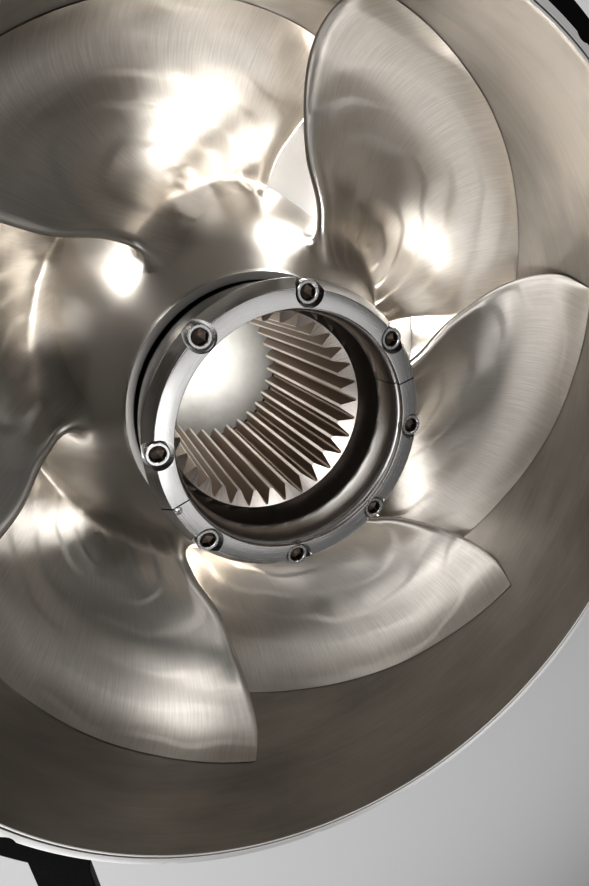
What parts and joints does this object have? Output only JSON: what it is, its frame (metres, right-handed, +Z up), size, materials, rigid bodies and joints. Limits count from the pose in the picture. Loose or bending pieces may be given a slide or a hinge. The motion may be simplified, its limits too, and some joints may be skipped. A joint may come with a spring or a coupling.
{
  "type": "pump impeller in its casing",
  "caption": "Mixed-flow pump impeller with twisted blades on a flared hub, splined bore and split clamp ring, turning in a steel casing.",
  "frame": {"origin": "middle of the outlet face, on the floor, on the rotor's axis", "axes": "+Z up along the rotor's axis, out of the inlet; +X towards the right of the reference view"},
  "size_m": [0.932, 0.932, 0.5455],
  "materials": {
    "casing_steel": "satin, turned",
    "blade_steel": "ground and polished",
    "spline_steel": "machined",
    "bright_steel": "bright, finely scratched",
    "screw_steel": "machined",
    "black_lining": "smooth",
    "black_steel": "satin black"
  },
  "bodies": {
    "casing": {"casing_shell": "casing_steel", "rim_ring": "casing_steel", "outlet_flange": "casing_steel", "stand_bracket_1": "black_steel", "stand_bracket_2": "black_steel"},
    "impeller": {"hub": "blade_steel", "blade_1": "blade_steel", "blade_2": "blade_steel", "blade_3": "blade_steel", "blade_4": "blade_steel", "blade_5": "blade_steel", "blade_6": "blade_steel", "splined_sleeve": "spline_steel", "bore_end_cover": "bright_steel", "lining_ring": "black_lining", "clamp_ring_half_1": "bright_steel", "clamp_ring_half_2": "bright_steel", "clamp_screw_1": "screw_steel", "clamp_screw_2": "screw_steel", "clamp_screw_3": "screw_steel", "clamp_screw_4": "screw_steel", "clamp_screw_5": "screw_steel", "clamp_screw_6": "screw_steel", "clamp_screw_7": "screw_steel", "clamp_screw_8": "screw_steel"}
  },
  "joints": [
    {"name": "impeller_spin", "type": "hinge", "parent": "casing", "child": "impeller", "pos_m": [0, 0, 0.3], "axis": [0, 0, 1], "continuous": true}
  ]
}
